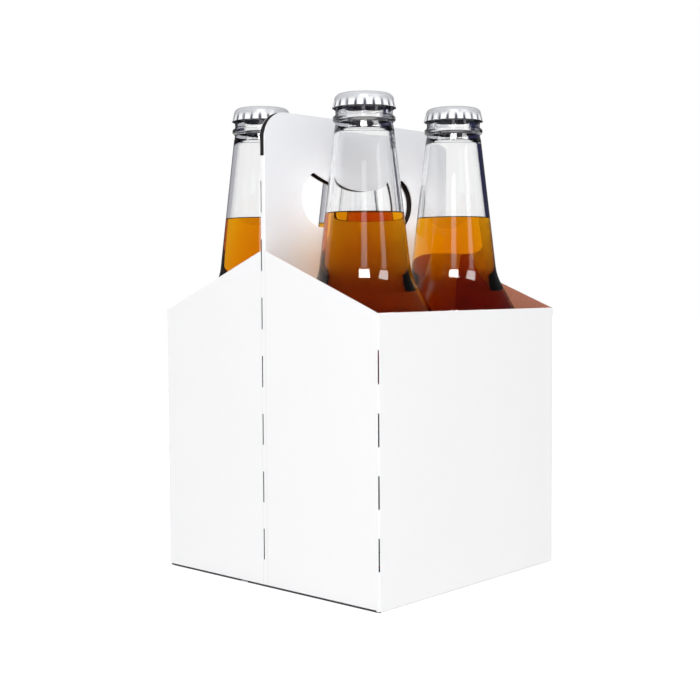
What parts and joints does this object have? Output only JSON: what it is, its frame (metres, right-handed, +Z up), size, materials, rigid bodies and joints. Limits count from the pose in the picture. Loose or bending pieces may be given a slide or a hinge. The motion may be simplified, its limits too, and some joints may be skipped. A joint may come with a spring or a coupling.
{
  "type": "bottle carrier",
  "caption": "Folded white paperboard basket carrier with a raised centre handle, hand hole and gabled ends, holding capped clear-glass bottles of an amber drink.",
  "frame": {"origin": "middle of the carrier's underside, on the surface it stands on", "axes": "X along the handle, Y across it from the front side panel to the back one, Z up"},
  "size_m": [0.1292, 0.1364, 0.2215],
  "materials": {
    "board": "white coated outside, brown kraft inside, semi-matte",
    "clear_glass": "clear, smooth and glossy",
    "amber_drink": "clear amber liquid",
    "white_cap": "white lacquered pressed steel, satin gloss",
    "liner": "soft sealing disc"
  },
  "bodies": {
    "root": {"carrier": "board", "bottle_front_left": "clear_glass", "bottle_front_right": "clear_glass", "bottle_back_left": "clear_glass", "bottle_back_right": "clear_glass", "drink_front_left": "amber_drink", "drink_front_right": "amber_drink", "drink_back_left": "amber_drink", "drink_back_right": "amber_drink", "crown_cap_front_left": "white_cap", "crown_cap_front_right": "white_cap", "crown_cap_back_left": "white_cap", "crown_cap_back_right": "white_cap", "cap_liner_front_left": "liner", "cap_liner_front_right": "liner", "cap_liner_back_left": "liner", "cap_liner_back_right": "liner"}
  },
  "joints": []
}
